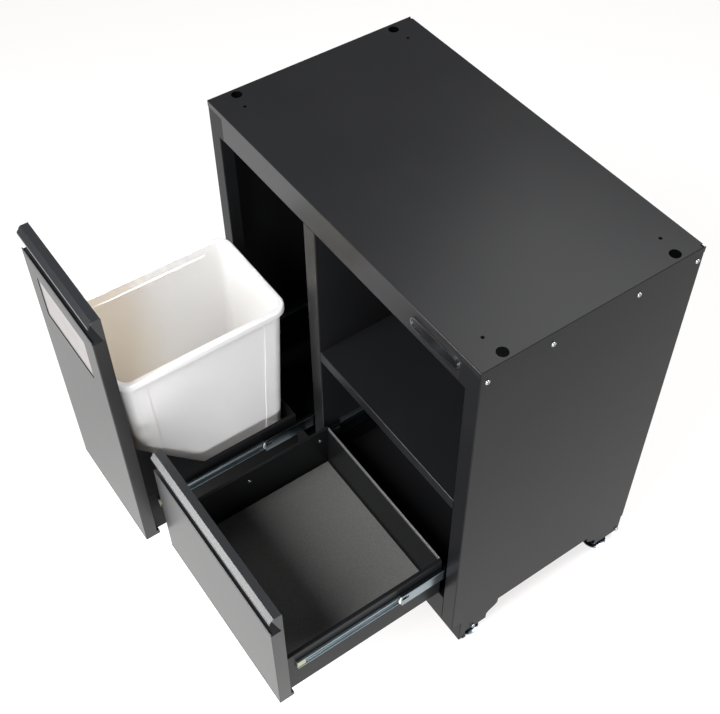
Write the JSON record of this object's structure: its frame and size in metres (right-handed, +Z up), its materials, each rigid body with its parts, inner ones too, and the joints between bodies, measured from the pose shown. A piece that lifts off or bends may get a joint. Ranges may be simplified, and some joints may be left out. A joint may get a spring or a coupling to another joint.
{
  "type": "cabinet with pull-out bin frame",
  "caption": "Steel floor cabinet with a pulled-out waste-bin frame with swing flap, a drawer on ball-bearing slides, an open shelf compartment and levelling feet.",
  "frame": {"origin": "on the floor, in the middle of the width and of the length with both pull-outs drawn open", "axes": "+X to the right seen from the front, +Y from the front to the back, +Z up"},
  "size_m": [0.782, 0.85, 0.848],
  "materials": {
    "powder_coat": "satin black powder coat with a fine texture",
    "zinc": "bright zinc plating",
    "cage_steel": "pressed strip with a film of grease",
    "grip_coat": "smooth dark coat on the extruded grip rails",
    "flap_steel": "fine brushed",
    "black_plastic": "moulded, matt",
    "white_plastic": "glossy moulded",
    "mat_rubber": "fine grained non-slip",
    "plate_chrome": "polished",
    "plate_black": "glossy, bare"
  },
  "bodies": {
    "carcass": {"left_side_panel": "powder_coat", "right_side_panel": "powder_coat", "top_panel": "powder_coat", "bottom_panel": "powder_coat", "back_panel": "powder_coat", "centre_divider": "powder_coat", "shelf": "powder_coat", "left_slide_channel": "powder_coat", "right_slide_channel": "powder_coat", "plinth": "powder_coat", "plinth_clips": "black_plastic", "panel_screws": "zinc", "name_plate_rim": "plate_chrome", "name_plate_field": "plate_black", "front_left_bracket": "powder_coat", "front_right_bracket": "powder_coat", "rear_left_bracket": "powder_coat", "rear_right_bracket": "powder_coat", "bin_left_cabinet_member": "zinc", "bin_right_cabinet_member": "zinc", "drawer_left_cabinet_member": "zinc", "drawer_right_cabinet_member": "zinc"},
    "bin_frame": {"bin_front_panel": "powder_coat", "bin_front_backing": "powder_coat", "bin_handle_rail": "grip_coat", "bin_handle_caps": "black_plastic", "bin_front_trim": "black_plastic", "bin_flap_pin": "flap_steel", "bin_tray": "powder_coat", "bin_tray_bolts": "zinc", "bin_left_inner_member": "zinc", "bin_right_inner_member": "zinc"},
    "bin_middle_members": {"bin_left_middle_member": "zinc", "bin_right_middle_member": "zinc"},
    "bin_outer_cages": {"bin_outer_cages": "cage_steel"},
    "bin_inner_cages": {"bin_inner_cages": "cage_steel"},
    "flap": {"bin_flap": "flap_steel"},
    "waste_bin": {"waste_bin": "white_plastic"},
    "drawer": {"drawer_front_panel": "powder_coat", "drawer_front_backing": "powder_coat", "drawer_handle_rail": "grip_coat", "drawer_handle_caps": "black_plastic", "drawer_front_trim": "black_plastic", "drawer_box": "powder_coat", "drawer_box_bolts": "zinc", "drawer_mat": "mat_rubber", "drawer_left_inner_member": "zinc", "drawer_right_inner_member": "zinc"},
    "drawer_middle_members": {"drawer_left_middle_member": "zinc", "drawer_right_middle_member": "zinc"},
    "drawer_outer_cages": {"drawer_outer_cages": "cage_steel"},
    "drawer_inner_cages": {"drawer_inner_cages": "cage_steel"},
    "front_left_foot": {"front_left_foot": "zinc"},
    "front_right_foot": {"front_right_foot": "zinc"},
    "rear_left_foot": {"rear_left_foot": "zinc"},
    "rear_right_foot": {"rear_right_foot": "zinc"}
  },
  "joints": [
    {"name": "bin_slide", "type": "slide", "parent": "carcass", "child": "bin_frame", "axis": [0, 1, 0], "range_m": [0, 0.4]},
    {"name": "bin_middle_slide", "type": "slide", "parent": "carcass", "child": "bin_middle_members", "axis": [0, 1, 0], "range_m": [0, 0.2]},
    {"name": "bin_outer_cage_slide", "type": "slide", "parent": "carcass", "child": "bin_outer_cages", "axis": [0, 1, 0], "range_m": [0, 0.1]},
    {"name": "bin_inner_cage_slide", "type": "slide", "parent": "carcass", "child": "bin_inner_cages", "axis": [0, 1, 0], "range_m": [0, 0.3]},
    {"name": "drawer_slide", "type": "slide", "parent": "carcass", "child": "drawer", "axis": [0, 1, 0], "range_m": [-0.035, 0.365]},
    {"name": "drawer_middle_slide", "type": "slide", "parent": "carcass", "child": "drawer_middle_members", "axis": [0, 1, 0], "range_m": [-0.0175, 0.1825]},
    {"name": "drawer_outer_cage_slide", "type": "slide", "parent": "carcass", "child": "drawer_outer_cages", "axis": [0, 1, 0], "range_m": [-0.00875, 0.09125]},
    {"name": "drawer_inner_cage_slide", "type": "slide", "parent": "carcass", "child": "drawer_inner_cages", "axis": [0, 1, 0], "range_m": [-0.02625, 0.27375]},
    {"name": "flap_hinge", "type": "hinge", "parent": "bin_frame", "child": "flap", "pos_m": [-0.218, -0.4203, 0.703], "axis": [1, 0, 0], "range_deg": [0, 70]},
    {"name": "waste_bin_lift", "type": "slide", "parent": "bin_frame", "child": "waste_bin", "axis": [0, 0, 1], "range_m": [0, 0.06]},
    {"name": "front_left_foot_turn", "type": "hinge", "parent": "carcass", "child": "front_left_foot", "pos_m": [-0.366, 0.032, 0], "axis": [0, 0, 1], "continuous": true},
    {"name": "front_right_foot_turn", "type": "hinge", "parent": "carcass", "child": "front_right_foot", "pos_m": [0.366, 0.032, 0], "axis": [0, 0, 1], "continuous": true},
    {"name": "rear_left_foot_turn", "type": "hinge", "parent": "carcass", "child": "rear_left_foot", "pos_m": [-0.366, 0.377, 0], "axis": [0, 0, 1], "continuous": true},
    {"name": "rear_right_foot_turn", "type": "hinge", "parent": "carcass", "child": "rear_right_foot", "pos_m": [0.366, 0.377, 0], "axis": [0, 0, 1], "continuous": true}
  ],
  "couplings": [
    {"joint": "bin_middle_slide", "follows": "bin_slide", "ratio": 0.5},
    {"joint": "bin_outer_cage_slide", "follows": "bin_slide", "ratio": 0.25},
    {"joint": "bin_inner_cage_slide", "follows": "bin_slide", "ratio": 0.75},
    {"joint": "drawer_middle_slide", "follows": "drawer_slide", "ratio": 0.5},
    {"joint": "drawer_outer_cage_slide", "follows": "drawer_slide", "ratio": 0.25},
    {"joint": "drawer_inner_cage_slide", "follows": "drawer_slide", "ratio": 0.75}
  ]
}
